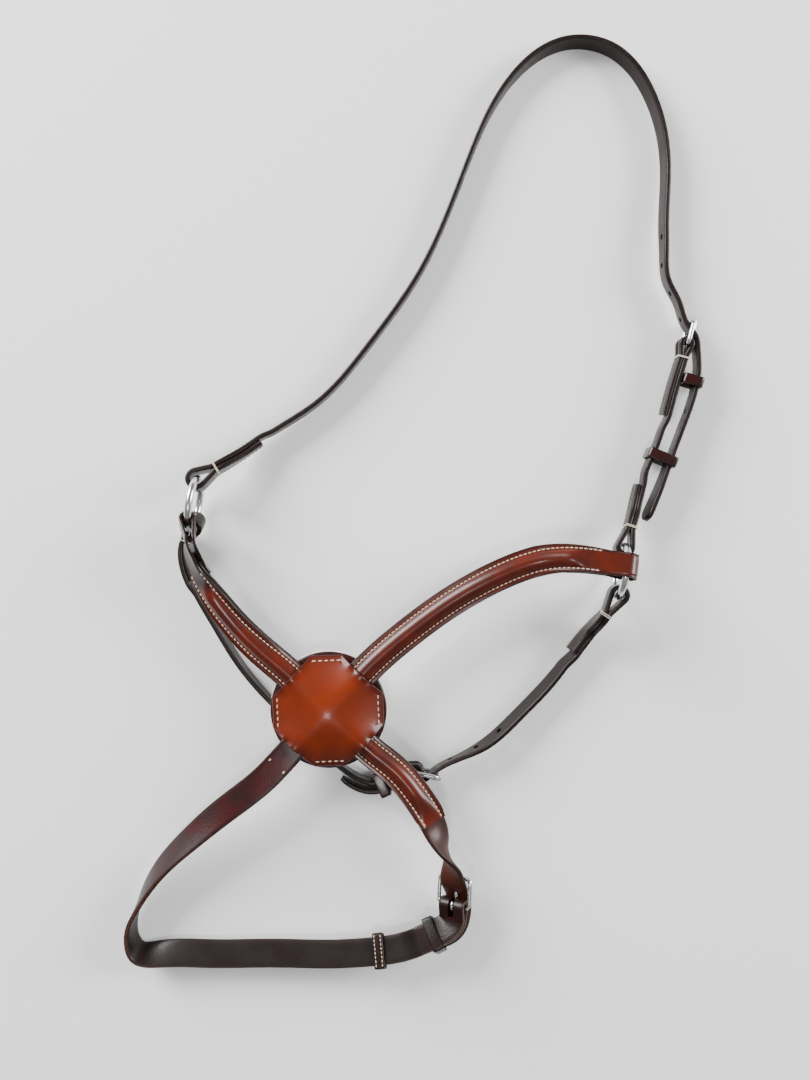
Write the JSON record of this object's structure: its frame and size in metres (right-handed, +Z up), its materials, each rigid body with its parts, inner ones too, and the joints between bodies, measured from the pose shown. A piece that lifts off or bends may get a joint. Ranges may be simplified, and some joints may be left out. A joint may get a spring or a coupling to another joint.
{
  "type": "leather headcollar",
  "caption": "Crossed-noseband leather headcollar with a star-covered crossing, padded arms, two cheek rings and buckled head, jaw and chin straps.",
  "frame": {"origin": "centre of the bounding box on the table plane, under the middle of the laid-out headcollar", "axes": "+Z up from the table, +X along the line through the two cheek rings, +Y towards the crown of the headpiece"},
  "size_m": [0.3272, 0.6541, 0.047],
  "materials": {
    "dark_leather": "waxed, dark brown, semi-gloss",
    "oxblood_leather": "waxed, oxblood brown, semi-gloss",
    "chestnut_leather": "waxed chestnut, semi-gloss",
    "star_leather": "polished orange-brown",
    "keeper_leather": "polished dark red",
    "steel": "polished stainless steel",
    "wool_felt": "matt wool felt",
    "waxed_thread": "waxed linen thread"
  },
  "bodies": {
    "noseband": {"star_cover": "star_leather", "star_disc": "star_leather", "star_boss": "dark_leather", "felt_pad": "wool_felt", "upper_left_arm_top": "chestnut_leather", "upper_left_arm_filler": "wool_felt", "upper_left_arm_lining": "dark_leather", "upper_right_arm_top": "chestnut_leather", "upper_right_arm_filler": "wool_felt", "upper_right_arm_lining": "dark_leather", "lower_right_arm_top": "chestnut_leather", "lower_right_arm_filler": "wool_felt", "chin_strap": "oxblood_leather", "chin_billet": "chestnut_leather", "chin_inner_keeper": "keeper_leather"},
    "left_ring": {"left_ring": "steel"},
    "right_ring": {"right_ring": "steel"},
    "headpiece": {"crown_strap": "dark_leather", "cheek_strap": "dark_leather", "crown_ring_whipping": "waxed_thread", "cheek_ring_whipping": "waxed_thread", "cheek_buckle_whipping": "waxed_thread", "head_upper_keeper": "keeper_leather"},
    "jaw_strap": {"jaw_strap_left": "dark_leather", "jaw_strap_right": "dark_leather", "jaw_left_whipping": "waxed_thread", "jaw_right_whipping": "waxed_thread"},
    "head_buckle_frame": {"head_buckle_frame": "steel"},
    "head_buckle_tongue": {"head_buckle_tongue": "steel"},
    "jaw_buckle_frame": {"jaw_buckle_frame": "steel"},
    "jaw_buckle_tongue": {"jaw_buckle_tongue": "steel"},
    "chin_buckle_frame": {"chin_buckle_frame": "steel"},
    "chin_buckle_tongue": {"chin_buckle_tongue": "steel"},
    "head_lower_keeper": {"head_lower_keeper": "keeper_leather"},
    "jaw_keeper": {"jaw_keeper": "keeper_leather"},
    "chin_sliding_keeper": {"chin_sliding_keeper": "keeper_leather"}
  },
  "joints": [
    {"name": "left_ring_turn", "type": "hinge", "parent": "noseband", "child": "left_ring", "pos_m": [-0.15415, -0.0201, 0.0226], "axis": [1, 0, 0], "continuous": true},
    {"name": "right_ring_turn", "type": "hinge", "parent": "noseband", "child": "right_ring", "pos_m": [0.12755, -0.0201, 0.0226], "axis": [1, 0, 0], "continuous": true},
    {"name": "headpiece_swing", "type": "hinge", "parent": "noseband", "child": "headpiece", "pos_m": [-0.0133, -0.0201, 0.0226], "axis": [1, 0, 0], "range_deg": [-30, 12]},
    {"name": "jaw_strap_swing", "type": "hinge", "parent": "noseband", "child": "jaw_strap", "pos_m": [-0.0133, -0.0201, 0.0226], "axis": [1, 0, 0], "range_deg": [0, 30]},
    {"name": "head_buckle_frame_tilt", "type": "hinge", "parent": "headpiece", "child": "head_buckle_frame", "pos_m": [0.14863, 0.13458, 0.0103], "axis": [0, 0, -1], "range_deg": [-3, 0]},
    {"name": "head_buckle_tongue_lift", "type": "hinge", "parent": "headpiece", "child": "head_buckle_tongue", "pos_m": [0.14863, 0.13458, 0.0103], "axis": [0, 0, -1], "range_deg": [0, 5]},
    {"name": "jaw_buckle_frame_tilt", "type": "hinge", "parent": "jaw_strap", "child": "jaw_buckle_frame", "pos_m": [0.0161, -0.17162, 0.0103], "axis": [0, 0, -1], "range_deg": [-3, 0]},
    {"name": "jaw_buckle_tongue_lift", "type": "hinge", "parent": "jaw_strap", "child": "jaw_buckle_tongue", "pos_m": [0.0161, -0.17162, 0.0103], "axis": [0, 0, -1], "range_deg": [0, 5]},
    {"name": "chin_buckle_frame_tilt", "type": "hinge", "parent": "noseband", "child": "chin_buckle_frame", "pos_m": [0.05435, -0.25445, 0.0155], "axis": [-0.8617, -0.0866, -0.5], "range_deg": [-1.5, 0]},
    {"name": "chin_buckle_tongue_lift", "type": "hinge", "parent": "noseband", "child": "chin_buckle_tongue", "pos_m": [0.05435, -0.25445, 0.0155], "axis": [-0.8617, -0.0866, -0.5], "range_deg": [0, 5]},
    {"name": "head_lower_keeper_slide", "type": "slide", "parent": "headpiece", "child": "head_lower_keeper", "axis": [-0.248, -0.9688, 0.0047], "range_m": [-0.01, 0.003]},
    {"name": "jaw_keeper_slide", "type": "slide", "parent": "jaw_strap", "child": "jaw_keeper", "axis": [-0.8089, -0.5874, -0.0229], "range_m": [-0.005, 0.003]},
    {"name": "chin_sliding_keeper_slide", "type": "slide", "parent": "noseband", "child": "chin_sliding_keeper", "axis": [-0.9553, -0.2876, -0.0682], "range_m": [-0.008, 0.012]}
  ]
}
